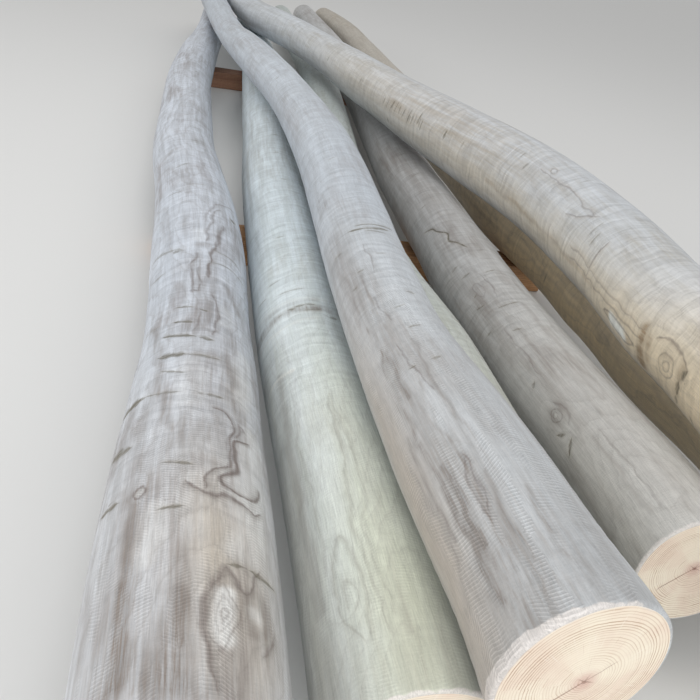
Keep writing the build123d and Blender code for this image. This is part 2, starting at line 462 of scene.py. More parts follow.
def ramp(value, low, high, toLow=0.0, toHigh=1.0):
    ends = {"Value": value, "From Min": low, "From Max": high, "To Min": toLow, "To Max": toHigh}
    return put("MapRange", ends, interpolation_type="SMOOTHSTEP").outputs[0]


def noise(place, scale, detail=3.0, rough=0.5, distortion=0.0):
    inputs = {"Vector": place, "Scale": scale, "Detail": detail, "Roughness": rough, "Distortion": distortion}
    return put("TexNoise", inputs).outputs[0]


def newGroup(title, inputs, outputs):
    tree = bpy.data.node_groups.new(title, "ShaderNodeTree")
    for label, kind, default in inputs:
        socket = tree.interface.new_socket(name=label, in_out="INPUT", socket_type="NodeSocket" + kind)
        if default is not None:
            socket.default_value = default
    for label, kind in outputs:
        tree.interface.new_socket(name=label, in_out="OUTPUT", socket_type="NodeSocket" + kind)
    start, end = tree.nodes.new("NodeGroupInput"), tree.nodes.new("NodeGroupOutput")
    return tree, start.outputs, end.inputs


def use(group, inputs):
    return put("Group", inputs, node_tree=group).outputs


def newMaterial(name):
    material = bpy.data.materials.new(name)
    material.use_nodes = True
    return material, material.node_tree, material.node_tree.nodes["Principled BSDF"]


def roughen(shader, strength, distance, height):
    bump = put("Bump", {"Strength": strength, "Distance": distance, "Height": height})
    feed(shader.inputs["Normal"], bump.outputs[0])


def postChart():
    # where a point lies on the post unrolled: metres along it, and metres round it from the top
    tree, given, gives = newGroup("postChart", [("Place", "Vector", None), ("Wander", "Float", 0.003)],
                                  [("Chart", "Vector")])
    x, y, z = apart(given["Place"])
    flat = joined(y, times(maths("ARCTAN2", x, z), chartRadius))
    drift = put("TexNoise", {"Vector": given["Place"], "Scale": 70.0, "Detail": 3.0}).outputs["Color"]
    drift = vectors("SUBTRACT", drift, (0.5, 0.5, 0.5))
    moved = vectors("ADD", flat, vectors("SCALE", drift, scale=given["Wander"]))
    feed(gives["Chart"], vectors("MULTIPLY", moved, (1.0, 1.0, 0.0)))
    return tree


def drawnStroke():
    # one layer of drawn strokes, with a ragged edge; Shade fades away from it on one side, Halo on both
    tree, given, gives = newGroup("drawnStroke",
                                  [("Layer", "Vector", None), ("Wander", "Float", 0.0), ("Soft", "Float", 0.5)],
                                  [("Mask", "Float"), ("Shade", "Float"), ("Halo", "Float")])
    off, half, shown = apart(given["Layer"])
    off = maths("ADD", off, given["Wander"])
    away = maths("ABSOLUTE", off)
    innerEdge = times(half, minus(1.0, given["Soft"]))
    outerEdge = times(half, maths("ADD", 1.0, given["Soft"]), 0.0001)
    feed(gives["Mask"], times(ramp(away, outerEdge, innerEdge), shown))
    oneSide = times(ramp(away, 0.0085, 0.0), maths("GREATER_THAN", off, 0.0))
    feed(gives["Shade"], times(oneSide, shown))
    feed(gives["Halo"], times(ramp(away, 0.008, 0.0), shown))
    return tree


woodGrain = (    # share of the length, scale, detail and roughness of each kind of lengthwise grain
    ("Fine", 0.05, 900.0, 2.0, 0.6), ("Fibre", 0.03, 330.0, 3.0, 0.6),
    ("Streak", 0.07, 78.0, 4.0, 0.6), ("Cloud", 0.32, 15.0, 4.0, 0.6))


def woodFibre():
    outputs = [(row[0], "Float") for row in woodGrain]
    tree, given, gives = newGroup("woodFibre", [("Place", "Vector", None)], outputs)
    for label, share, scale, detail, rough in woodGrain:
        feed(gives[label], noise(stretched(given["Place"], share), scale, detail, rough, 0.3))
    return tree


peelMark = dict(sway=0.030, laneWander=0.012, laneShort=13.0, laneNarrow=85.0, slant=1.5, pitch=0.0037)


def peelRipple():
    # marks of peeling and sanding: lanes of fine slanted hatching, and ripples that run across the post
    tree, given, gives = newGroup("peelRipple", [("Place", "Vector", None), ("Chart", "Vector", None)],
                                  [("Hatch", "Float"), ("Grit", "Float"), ("Ripple", "Float"), ("Wave", "Float")])
    place = given["Place"]
    along, around, _ = apart(given["Chart"])
    sway = times(minus(noise(place, 22.0, 2.0)), peelMark["sway"])
    laneWander = times(minus(noise(place, 60.0, 2.0)), peelMark["laneWander"])
    lanePlace = joined(times(along, peelMark["laneShort"]),
                       times(maths("ADD", around, laneWander), peelMark["laneNarrow"]))
    lanes = put("TexVoronoi", {"Vector": lanePlace, "Scale": 1.0}, voronoi_dimensions="2D").outputs["Color"]
    lean, shift, share = apart(lanes)
    lean = times(lean, peelMark["slant"], -peelMark["slant"] / 2)
    slanted = times(sway, 0.12, times(around, lean, along))
    shift = times(shift, 6.28)
    hatch = maths("SINE", times(slanted, 2 * math.pi / peelMark["pitch"], shift))
    patch = ramp(noise(stretched(place, 0.3), 26.0, 2.0), 0.38, 0.54)
    patch = times(patch, ramp(share, 0.2, 0.5))
    feed(gives["Hatch"], times(ramp(hatch, -0.4, 0.9, -0.4, 1.0), patch))
    swayed = joined(maths("ADD", along, sway), around)
    feed(gives["Grit"], noise(stretched(swayed, 0.13), 330.0, 2.0, 0.6))
    ripple = noise(stretched(swayed, 0.10), 125.0, 1.0, 0.5)
    feed(gives["Ripple"], ramp(ripple, 0.30, 0.70))
    wave = noise(stretched(swayed, 0.13), 52.0, 1.0, 0.5)
    feed(gives["Wave"], ramp(wave, 0.28, 0.72))
    return tree


def growthFigure():
    # a dark line wherever the growth value passes a whole number, and a shade that builds up to it
    inputs = [("Place", "Vector", None), ("Growth", "Float", 0.0), ("Line Width", "Float", 0.1)]
    tree, given, gives = newGroup("growthFigure", inputs, [("Line", "Float"), ("Shade", "Float")])
    ragged = noise(stretched(given["Place"], 0.35), 55.0, 4.0, 0.6)
    cycle = maths("FRACT", maths("ADD", given["Growth"], times(ragged, 0.9)))
    fromLine = maths("ABSOLUTE", minus(cycle))
    feed(gives["Line"], ramp(fromLine, minus(0.5, given["Line Width"]), 0.5))
    feed(gives["Shade"], maths("POWER", cycle, 3.0))
    return tree


chartGroup, strokeGroup, fibreGroup = postChart(), drawnStroke(), woodFibre()
peelGroup, figureGroup = peelRipple(), growthFigure()
print("finishes ready:", ", ".join(group.name for group in bpy.data.node_groups))


def drawStrokes(tree, title, wander, soft):
    # the strongest of the layers of strokes: mask, one-sided shade and halo
    best = [0.0, 0.0, 0.0]
    for k in range(strokeLayer["count"]):
        layer = pointValue(tree, title + str(k))
        drawn = use(strokeGroup, {"Layer": layer, "Wander": wander, "Soft": soft})
        best = [maths("MAXIMUM", one, other) for one, other in zip(best, drawn)]
    return best


sandedWood = dict(
    fineShade=0.62, fibreShade=0.42, gritShade=0.16, dustShade=0.24, hatchShade=0.07,
    rippleShade=0.12, waveShade=0.075, rippleHeight=0.45, waveHeight=0.95, gritHeight=0.20,
    hatchHeight=0.12, fibreHeight=0.25, scarHeight=-0.7,
    haloShare=0.28, roughLow=0.50, roughHigh=0.66, bumpStrength=0.8, bumpDistance=0.0011)


def sideMaterial(name, look):
    material, tree, shader = newMaterial(name)
    place = pointValue(tree, "postPlace")
    along = apart(place)[1]
    warmToneAndShade, green, paintedLight = apart(pointValue(tree, "postTone"))
    grown, stained, lightened = apart(pointValue(tree, "postFigure"))
    chart = use(chartGroup, {"Place": place, "Wander": 0.003})["Chart"]
    fibre = use(fibreGroup, {"Place": place})
    peel = use(peelGroup, {"Place": place, "Chart": chart})
    figure = use(figureGroup, {"Place": place, "Growth": grown, "Line Width": look["figureWidth"]})
    pattern = times(fibre["Streak"], 0.6, times(fibre["Fibre"], 0.4))
    colour = blend(ramp(pattern, 0.38, 0.64), look["pale"], look["dim"])
    # laid on by their hills: the warm tone (in places painted warm shade), the green tone, and painted light, a
    # paler, cooler tint where sky light falls
    for share, key in ((warmToneAndShade, "warmToneAndShadeColour"), (green, "greenColour"), (paintedLight, "paintedLightColour")):
        colour = blend(share, colour, look[key])
    cloudy = times(ramp(fibre["Cloud"], 0.46, 0.70), ramp(pattern, 0.36, 0.60, 0.3, 1.0))
    fine = times(maths("ADD", fibre["Fibre"], fibre["Fine"]), 0.30)
    fineStreak = times(fibre["Streak"], 0.40, fine)
    stain = times(stained, ramp(fineStreak, 0.38, 0.62, 0.30, 1.45), clamp=True)
    ragged = minus(noise(place, 60.0, 4.0, 0.65))
    lines, shade, _ = drawStrokes(tree, "postLine", times(ragged, 0.007), 0.9)
    scars, _, halo = drawStrokes(tree, "postScar", times(ragged, 0.004), 0.7)
    # the bark-side skin ends in a pale rim just before the sawn butt
    ragRim = times(minus(noise(place, 45.0, 3.0, 0.6)), 0.013, along)
    for share, key in ((times(cloudy, look["cloudShare"]), "cloud"),
                       (times(figure["Shade"], look["figureShade"]), "figureColour"),
                       (times(figure["Line"], look["figureLine"]), "figureColour"),
                       (stain, "stainColour"),
                       (times(lightened, ramp(pattern, 0.62, 0.42, 0.6, 1.0)), "paleMark"),
                       (times(shade, look["lineShade"]), "stainColour"),
                       (times(lines, ramp(fibre["Fibre"], 0.30, 0.62, 0.55, 1.0)), "lineColour"),
                       (times(halo, sandedWood["haloShare"]), "haloColour"),
                       (times(scars, ramp(peel["Grit"], 0.35, 0.58, 0.5, 0.92)), "scarColour"),
                       (ramp(ragRim, 0.0034, 0.0018, 0.0, 0.8), "rimColour")):
        colour = blend(share, colour, look[key])
    # painted light: the posts are greyer and cooler away from the butt, a painted tint of sky light; on
    # post_right the tint is warmer, a painted warm shade
    colour = blend(ramp(along, 0.30, 1.0), colour, look["farLightTint"], "MULTIPLY")
    # light and dark of fibre, hatching and ripples
    ripples = times(ramp(along, 0.25, 0.60, 0.15, 1.0), look["ripple"])
    fibrous = times(stained, 0.8, ramp(along, 0.35, 0.75, 1.0, 0.5))
    value = times(minus(fibre["Fibre"]), sandedWood["fibreShade"])
    value = times(minus(fibre["Fine"]), sandedWood["fineShade"], value)
    value = times(value, fibrous, 1.0)
    value = times(minus(peel["Grit"]), sandedWood["gritShade"], value)
    value = times(minus(noise(place, 620.0, 2.0, 0.7)), sandedWood["dustShade"], value)
    value = times(peel["Hatch"], sandedWood["hatchShade"] * look["hatch"], value)
    shine = times(minus(peel["Wave"]), sandedWood["waveShade"])
    shine = times(minus(peel["Ripple"]), sandedWood["rippleShade"], shine)
    value = times(shine, ripples, value)
    feed(shader.inputs["Base Color"], shaded(colour, value))
    gloss = ramp(peel["Grit"], 0.3, 0.7, sandedWood["roughLow"], sandedWood["roughHigh"])
    feed(shader.inputs["Roughness"], gloss)
    wavy = times(peel["Wave"], sandedWood["waveHeight"])
    height = times(times(peel["Ripple"], sandedWood["rippleHeight"], wavy), ripples)
    for mark, depth in ((peel["Grit"], sandedWood["gritHeight"]),
                        (peel["Hatch"], sandedWood["hatchHeight"] * look["hatch"]),
                        (fibre["Fibre"], sandedWood["fibreHeight"]), (scars, sandedWood["scarHeight"])):
        height = times(mark, depth, height)
    roughen(shader, sandedWood["bumpStrength"], sandedWood["bumpDistance"], height)
    return material


sawnEnd = dict(
    cream=(0.87, 0.785, 0.645), pink=(0.81, 0.68, 0.56), ringColour=(0.37, 0.20, 0.105), heart=(0.24, 0.12, 0.11),
    halo=(0.64, 0.42, 0.36), rimColour=(0.76, 0.71, 0.66), rings=31.0, roughness=0.72,
    rayPale=(0.92, 0.85, 0.77), rayDark=(0.45, 0.28, 0.20), crackColour=(0.30, 0.17, 0.12),
    # drying cracks from the pith, the longest down to the left: direction, share of the radius, half width
    cracks=((-2.45, 0.66, 0.0006), (0.62, 0.42, 0.0003), (-0.35, 0.16, 0.0004), (2.6, 0.14, 0.0004),
            (1.2, 0.14, 0.0004)))


def dryingCracks(place, reach, around, share):
    crackWander = times(minus(noise(place, 90.0, 2.0)), 0.10)
    cracks = 0.0
    for direction, outer, half in sawnEnd["cracks"]:
        turn = maths("ADD", around, minus(crackWander, direction))
        off = maths("ABSOLUTE", times(reach, maths("SINE", turn)))
        ahead = maths("GREATER_THAN", maths("COSINE", minus(around, direction)), 0.0)
        line = times(ramp(off, half * 1.6, half * 0.4), ahead)
        line = times(line, ramp(share, outer, outer - 0.12))
        cracks = maths("MAXIMUM", cracks, line)
    return cracks


def endMaterial():
    material, tree, shader = newMaterial("sawnEnd")
    x, y, share = apart(pointValue(tree, "endPlace"))
    place = joined(x, y)
    reach = vectors("LENGTH", place)
    around = maths("ARCTAN2", y, x)
    uneven = noise(joined(times(reach, 60.0), times(around, 0.25)), 1.0, 3.0, 0.6)
    ringValue = times(share, sawnEnd["rings"], times(noise(place, 28.0, 3.0, 0.5), 1.6))
    cycle = maths("FRACT", times(uneven, 3.0, ringValue))
    ringLine = times(ramp(cycle, 0.55, 0.90), ramp(cycle, 1.0, 0.93))
    ringStrength = ramp(share, 0.12, 0.90, 0.40, 0.95)
    for patchy, low, high, faint in ((uneven, 0.38, 0.60, 0.22),
                                     (noise(place, 24.0, 2.0), 0.40, 0.58, 0.55)):
        ringStrength = times(ringStrength, ramp(patchy, low, high, faint))
    rays = noise(joined(times(around, 26.0), times(reach, 30.0)), 1.0, 3.0, 0.6)
    cracks = dryingCracks(place, reach, around, share)
    ragRim = times(minus(noise(place, 50.0, 2.0)), 0.10, share)
    colour = sawnEnd["cream"]
    for amount, key in ((ramp(noise(place, 18.0, 3.0, 0.55), 0.4, 0.65), "pink"),
                        (ramp(share, 0.22, 0.05, 0.0, 0.65), "halo"),
                        (times(ringLine, ringStrength), "ringColour"),
                        (ramp(share, 0.055, 0.015, 0.0, 0.85), "heart"),
                        (ramp(rays, 0.58, 0.74, 0.0, 0.45), "rayPale"),
                        (ramp(rays, 0.40, 0.28, 0.0, 0.30), "rayDark"),
                        (times(cracks, 0.75), "crackColour"),
                        (ramp(ragRim, 0.935, 0.965, 0.0, 0.85), "rimColour")):
        colour = blend(amount, colour, sawnEnd[key])
    feed(shader.inputs["Base Color"], colour)
    shader.inputs["Roughness"].default_value = sawnEnd["roughness"]
    saw = noise(stretched(place, 0.16), 700.0, 3.0, 0.6)
    height = times(ringLine, -0.25, times(saw, 0.35))
    roughen(shader, 0.6, 0.0006, times(cracks, -1.2, height))
    return material


# distances are mm from the butt, turns are degrees from the top of the post, towards +X where positive;
# hills: place, turn, half length, half width, height; marks: width (mm), strength, points

# the cool colour and its hills are painted sky light, and the far tint is a painted tint of the light; the warm
# colour is the wood's own warm tone, and painted warm shade where noted
plainPost = dict(
    pale=(0.53, 0.545, 0.525), dim=(0.43, 0.44, 0.425), cloud=(0.31, 0.285, 0.255), cloudShare=0.5,
    warmToneAndShadeColour=(0.46, 0.36, 0.22), greenColour=(0.47, 0.49, 0.34), paintedLightColour=(0.52, 0.56, 0.60),
    stainColour=(0.215, 0.185, 0.165), lineColour=(0.150, 0.120, 0.108), scarColour=(0.125, 0.11, 0.075),
    haloColour=(0.30, 0.265, 0.20), rimColour=(0.69, 0.65, 0.62), paleMark=(0.70, 0.70, 0.65),
    farLightTint=(0.953, 0.994, 1.052), figureColour=(0.26, 0.235, 0.215), figureWidth=0.10, figureShade=0.10,
    figureLine=0.16, ripple=1.0, hatch=1.0, lineWidth=1.3, lineShade=0.42, around=112, cutsTwice=26, facing=-30,
    swells=(), growth=(), darker=(), warmToneAndShade=(), green=(), paintedLight=())

postLooks = {}

postLooks["postLeft"] = dict(
    plainPost, node="post_left", seed=11, facing=-8, pith=(0.004, -0.006), pale=(0.635, 0.65, 0.675),
    dim=(0.46, 0.462, 0.47), cloud=(0.27, 0.235, 0.22), cloudShare=0.70, hatch=1.3, lineWidth=1.6,
    lineShade=0.62, figureLine=0.14, figureShade=0.20, figureWidth=0.14, paleMark=(0.80, 0.80, 0.78),
    lineColour=(0.18, 0.148, 0.135), warmToneAndShadeColour=(0.58, 0.48, 0.34),
    swells=[(253, 16, 45, 11, 0.8), (412, -33, 14, 8, 0.6), (990, 0, 22, 500, -0.5), (1166, 44, 18, 9, 0.7)],
    growth=[(253, 16, 60, 13, 2.2), (268, 36, 45, 11, 1.6), (412, -33, 30, 9, 1.2), (900, 0, 130, 16, 1.5)],
    darker=[(90, -16, 120, 44, 0.85), (330, -42, 130, 12, 0.25), (240, -2, 80, 8, 0.30), (520, 20, 60, 9, 0.22),
        (620, 45, 90, 12, 0.22), (1345, -20, 55, 14, 0.36), (1600, 17, 28, 12, 0.42), (1912, 35, 30, 14, 0.25),
        (300, -5, 45, 9, 0.18), (1090, -22, 75, 13, 0.18), (1130, -46, 50, 9, 0.16), (240, -58, 60, 14, 0.10)],
    warmToneAndShade=[(260, 30, 130, 24, 0.40), (350, 8, 110, 18, 0.35), (610, 36, 60, 12, 0.2)],
    # painted sky light: a bluish tint along the left flank
    paintedLight=[(900, -45, 700, 30, 0.25)],
    marks=dict(
        line=[
            (2.2, .8, [(412, -2), (405, 3), (400, 12), (398, 17), (400, 22), (395, 30), (390, 38), (386, 42),
                (395, 46)]),
            (2.4, .8, [(405, 9), (415, 8.5), (430, 9), (440, 11), (443, 16), (447, 20), (460, 24), (480, 26),
                (520, 26), (535, 25), (545, 21), (547, 15)]),
            (2.8, .95, [(435, 47), (425, 46), (415, 43), (408, 38), (406, 30), (408, 23), (415, 19),
                (425, 17), (432, 19), (440, 24), (450, 28), (470, 29), (490, 30), (500, 33), (503, 37),
                (508, 41)]), (2.0, .6, [(505, 30), (520, 31.5), (530, 33), (526, 36)]),
            (2.6, .7, [(190, 12), (215, 11), (240, 8), (262, 6), (280, 10), (300, 14), (310, 18), (300, 22),
                (290, 26), (285, 30), (295, 34), (310, 38), (318, 42)]),
            (2.2, .6, [(228, 40), (236, 44), (250, 48), (262, 49)]),
            (1.4, .4, [(222, 16), (238, 10.5), (255, 8), (275, 12), (292, 16), (275, 21), (252, 25),
                (235, 21), (222, 16)]),
            (1.1, .3, [(236, 16), (248, 12.5), (256, 12), (268, 14.5), (278, 16.5), (266, 20), (252, 21),
                (243, 19), (236, 16)]),
            (1.1, .4, [(246, 16), (253, 14.5), (258, 15), (262, 16.5), (257, 18.5), (250, 18), (246, 16)]),
            (2.6, .6, [(720, 11), (735, 14), (775, 15), (805, 16), (825, 14), (845, 11)]),
            (1.8, .4, [(720, -6), (745, -3), (790, -3)]),
            (3.0, .6, [(850, -10.5), (880, -12), (905, -13), (930, -12), (960, -10), (985, -8)]),
            (1.8, .7, [(858, -10), (855, -4)]),
            (1.8, .5, [(855, -4), (880, -3), (900, -4), (925, -5), (935, -3)]),
            (3.0, .8, [(905, 8), (925, 7), (950, 6.5), (965, 7), (980, 9), (992, 12), (1005, 15), (1012, 17)]),
            (4.0, .55, [(1012, 17), (1040, 18), (1070, 21), (1100, 24), (1112, 25)]),
            (3.0, .5, [(1030, 4), (1060, 5), (1090, 8), (1110, 12), (1140, 14), (1155, 16), (1165, 19),
                (1173, 22)]),
            (3.0, .4, [(1100, 3), (1140, 6), (1165, 12), (1190, 18), (1205, 27), (1220, 38), (1228, 50)]),
            (1.8, .8, [(400, -33), (405, -36), (413, -37), (421, -35), (423, -32), (418, -29), (408, -29.5),
                (400, -33)]), (3.0, .9, [(413, -33), (413.5, -33)])],
        stain=[(20, .60, [(205, -34), (300, -34)]), (13, .50, [(300, -34), (395, -34)]),
            (34, .40, [(412, -33), (413, -31)]), (16, .30, [(452, -2), (448, 10)]),
            (12, .35, [(700, 30), (780, 34), (840, 28)]), (17, .50, [(190, -9), (275, -8)]),
            (12, .35, [(195, -22), (235, -30)]),
            (10, .50, [(480, -12), (500, -14), (520, -19), (545, -22), (575, -26), (610, -30), (650, -34),
                (690, -36), (715, -40), (750, -46), (775, -52), (790, -62)]), (34, .38, [(490, -9), (500, -7)]),
            (14, .45, [(505, 38), (520, 42), (530, 46)]),
            (15, .45, [(540, 37), (560, 35), (585, 30), (620, 29.5), (655, 30)]),
            (24, .40, [(655, 28), (668, 20)]), (26, .30, [(470, 41), (470, 39)]),
            (11, .55, [(245, 33), (250, 40), (268, 43), (285, 40), (290, 34), (275, 30), (258, 30), (245, 33)]),
            (36, .25, [(740, 3), (800, 4)]), (40, .24, [(870, -4), (960, -5)]),
            (16, .55, [(1004, 0), (1012, 9)]),
            (12, .50, [(830, 45), (845, 40), (870, 33), (895, 26), (905, 20)]),
            (14, .30, [(1500, -73), (1520, -50), (1545, -23)]), (14, .35, [(1050, 18), (1100, 24)]),
            (12, .3, [(2240, 12), (2330, 24)])],
        pale=[(15, 1.3, [(234, 17.5), (252, 16), (280, 17.5)]), (12, .5, [(266, 35), (270, 35)]),
            (20, .35, [(320, -25), (380, -21)]), (22, .35, [(770, 24), (810, 26)]),
            (20, .30, [(1030, -6), (1060, -3)]), (7, .7, [(410, -33), (416, -33)]),
            (30, .25, [(560, -5), (640, -3)]), (34, .45, [(335, 33), (400, 40), (520, 46)]),
            (26, .35, [(590, 42), (700, 44)])],
        scar=[(7, .95, [(417, -67), (413, -50)]), (9, .9, [(513, -72), (500, -49)]),
            (13, 1, [(602, -74), (591, -41)]), (2.4, .6, [(592, -42), (583, -28), (577, -12)]),
            (3.4, .8, [(376, -18), (377, -5)]), (3, .7, [(442, -19), (439, -4)]),
            (3, .7, [(632, -31), (620, -12)]), (7, .9, [(674, -34), (664, -11)]),
            (2.8, .6, [(664, -12), (660, 5), (662, 20)]), (3, .8, [(571, 10), (572, 22)]),
            (2.4, .5, [(573, 3), (570, 8)]), (3, .75, [(315, 36), (316, 56)]), (3, .65, [(312, 22), (315, 31)]),
            (5, .85, [(728, -34), (712, -7)]), (4, .8, [(711, -3), (709, 8)]),
            (5, .85, [(764, -27), (757, -8)]), (4, .75, [(807, -26), (802, -8)]),
            (4, .8, [(797, -1), (795, 7)]), (2.4, .5, [(956, 8), (960, 30), (955, 60)]),
            (2.4, .5, [(995, 14), (1000, 35), (992, 55)]), (3.4, .7, [(1008, -35), (1003, -27)]),
            (2.2, .5, [(1035, -72), (1025, -50), (1010, -32), (1000, -20)]), (8, .85, [(1165, 39), (1168, 47)]),
            (3, .5, [(1270, -45), (1262, -34), (1252, -25)]), (3, .4, [(1288, -16), (1283, 10)]),
            (7, .6, [(2322, 17), (2330, 22)]), (3, .5, [(1600, 6), (1608, 20)]),
            (2.6, .5, [(960, -70), (948, -45)]), (2.6, .4, [(780, -70), (772, -42)]),
            (3, .5, [(1420, -30), (1424, -8)]), (3, .4, [(1710, 8), (1722, 30)])]))

postLooks["postSecond"] = dict(
    plainPost, node="post_second", seed=21, pith=(-0.006, 0.004), pale=(0.68, 0.73, 0.73),
    dim=(0.59, 0.64, 0.625), cloud=(0.47, 0.47, 0.41), cloudShare=0.35, hatch=0.6, figureLine=0.08,
    figureShade=0.10, lineColour=(0.26, 0.25, 0.21), greenColour=(0.63, 0.65, 0.475),
    warmToneAndShadeColour=(0.64, 0.56, 0.42),
    swells=[(640, 0, 26, 500, 0.5), (665, 0, 12, 500, -0.4), (500, 0, 10, 500, -0.2)],
    growth=[(108, -36, 50, 12, 1.8)],
    green=[(60, -8, 230, 34, 0.7), (400, -5, 170, 20, 0.3)],
    warmToneAndShade=[(120, -75, 300, 24, 0.30), (120, 30, 200, 30, 0.3)],
    darker=[(640, -20, 14, 70, 0.14), (1500, 0, 650, 500, 0.28), (20, 0, 80, 500, 0.22)],
    marks=dict(
        line=[
            (3.4, .34, [(60, -33), (90, -28), (130, -28), (165, -32), (186, -37), (160, -44), (120, -46),
                (85, -43), (60, -38)]),
            (2.6, .26, [(92, -36), (106, -33), (126, -34), (132, -38), (112, -40), (96, -39)]),
            (3.2, .30, [(60, -20), (130, -22), (200, -25), (260, -22), (330, -19), (420, -18)]),
            (2.6, .24, [(80, -14), (180, -18), (240, -12), (300, -12), (430, -16)]),
            (3.0, .20, [(150, -52), (240, -50), (330, -54), (430, -50)])],
        stain=[(14, .28, [(120, -62), (300, -64), (500, -60)]),
            (16, .42, [(641, -92), (637, -50), (642, -20), (634, 18)]),
            (9, .30, [(662, -60), (660, -30), (664, 0)]), (8, .2, [(60, -8), (300, -4)])],
        pale=[(5, .8, [(503, -92), (500, -70), (499, -45)]), (6, .4, [(612, -90), (606, -40), (613, 0)]),
            (6, .3, [(672, -80), (668, 10)])],
        scar=[(4, .8, [(644, -32), (643, -26)]), (3, .7, [(648, -24), (650, -14)]),
            (3, .6, [(652, -12), (650, -2)]), (3, .5, [(636, -14), (635, 4)]),
            (3.4, .6, [(615, 15), (617, 21)]), (3, .6, [(640, -46), (640, -40)]),
            (2.2, .4, [(698, -42), (700, -10)]), (2.2, .4, [(745, -50), (744, -35)]),
            (3, .45, [(1205, -4), (1205, 5)]), (3, .45, [(1393, -8), (1393, 1)]),
            (3.4, .55, [(1538, -9), (1538, 5)]), (2, .3, [(630, -90), (628, -55)]),
            (2.4, .4, [(720, -70), (716, -56)]), (2.6, .4, [(905, -30), (903, -20)])]))

postLooks["postUnder"] = dict(
    plainPost, node="post_under", seed=31, around=64, cutsTwice=20, facing=20, pith=(0.0, 0.003),
    pale=(0.56, 0.58, 0.54), dim=(0.47, 0.49, 0.44), cloud=(0.42, 0.41, 0.34),
    marks=dict(
        line=(),
        stain=[(8, .3, [(500, 40), (900, 44)]), (6, .3, [(1400, 30), (1800, 34)])],
        pale=(),
        scar=[(2.6, .5, [(612, 30), (616, 44)]), (3, .5, [(842, 38), (846, 52)]),
            (3, .5, [(1630, 20), (1634, 36)])]))

postLooks["postInner"] = dict(
    plainPost, node="post_inner", farLightTint=(0.985, 0.99, 1.01), seed=41, pith=(-0.004, 0.006),
    pale=(0.53, 0.53, 0.52), dim=(0.43, 0.425, 0.41), cloud=(0.27, 0.24, 0.215), cloudShare=0.6, hatch=0.6,
    figureLine=0.10, figureShade=0.14, lineShade=0.3, paintedLightColour=(0.68, 0.67, 0.64),
    swells=[(264, -62, 16, 9, 0.6), (600, -43, 40, 14, 0.9)],
    growth=[(264, -62, 40, 12, 1.6), (600, -43, 60, 16, 1.8)],
    warmToneAndShade=[(100, -60, 200, 40, 0.2)],
    # painted light: a paler patch low on the left flank near the butt, where the light falls
    paintedLight=[(60, -40, 230, 60, 0.75), (380, -30, 160, 60, 0.25)],
    darker=[(330, -40, 160, 30, 0.22), (600, -43, 60, 16, 0.25), (900, -40, 220, 40, 0.22),
        (1300, -40, 260, 60, 0.35), (120, -20, 80, 12, 0.2)],
    marks=dict(
        line=[(2.2, .3, [(43, -37), (120, -36), (200, -38)]),
            (2.0, .45, [(251, -62), (257, -56), (269, -56), (277, -61), (271, -67), (258, -67), (251, -62)]),
            (1.6, .35, [(259, -62), (263, -59), (269, -60), (270, -63), (264, -65), (259, -62)]),
            (2.4, .35, [(238, -58), (246, -52), (268, -50), (286, -55)]),
            (2.0, .3, [(578, -43), (588, -39), (604, -37), (622, -41), (616, -46), (598, -48), (586, -47),
                (578, -43)]), (2, .4, [(560, -30), (600, -26), (640, -28)]),
            (2, .35, [(350, -50), (420, -46), (470, -48)])],
        stain=[(7, .3, [(43, -46), (90, -49), (120, -46), (195, -48)]), (28, .45, [(258, -62), (272, -60)]),
            (7, .3, [(230, -30), (420, -26)]), (18, .25, [(600, -43), (602, -42)]),
            (8, .25, [(250, -10), (520, -4)])],
        pale=[(6, .4, [(262, -62), (267, -61)])],
        scar=[(3.4, .7, [(240, -76), (229, -69)]), (2.0, .75, [(203, -82), (214, -65)]),
            (3, 1.0, [(907, -66), (897, -58), (890, -50), (862, -44), (838, -34), (804, -35), (790, -33),
                (778, -30), (756, -21)]), (3, .65, [(529, -35), (526, -20), (529, -7)]),
            (4, .65, [(665, -52), (665, -41)]), (4, .55, [(492, -70), (492, -62)]),
            (3.4, .5, [(1343, -26), (1343, -16)]), (2.6, .5, [(455, -40), (450, -30)]),
            (2.6, .5, [(560, -62), (556, -50)]), (3, .5, [(640, -20), (644, -6)]),
            (2.6, .45, [(700, -58), (704, -46)]), (2.6, .4, [(1010, -50), (1014, -36)]),
            (3, .4, [(1185, -30), (1190, -14)]), (4, .6, [(340, -66), (346, -61)]),
            (4, .5, [(590, -52), (594, -49)])]))

postLooks["postRight"] = dict(
    plainPost, node="post_right", farLightTint=(1.0, 0.985, 0.955), seed=51, around=64, cutsTwice=20, facing=-90,
    pith=(0.005, 0.002), pale=(0.50, 0.475, 0.43), dim=(0.42, 0.39, 0.345), cloud=(0.36, 0.31, 0.25),
    figureLine=0.18, figureShade=0.15, warmToneAndShadeColour=(0.78, 0.64, 0.42),
    # painted warm shade: the lower left flank golden, as light bouncing between the posts in the crevice makes it
    warmToneAndShade=[(700, -100, 900, 70, 0.95)],
    marks=dict(
        line=(),
        stain=[(10, .3, [(300, -85), (1500, -92)]), (8, .25, [(600, -75), (1300, -78)])],
        pale=(),
        scar=[(3, .5, [(788, -100), (786, -86)])]))

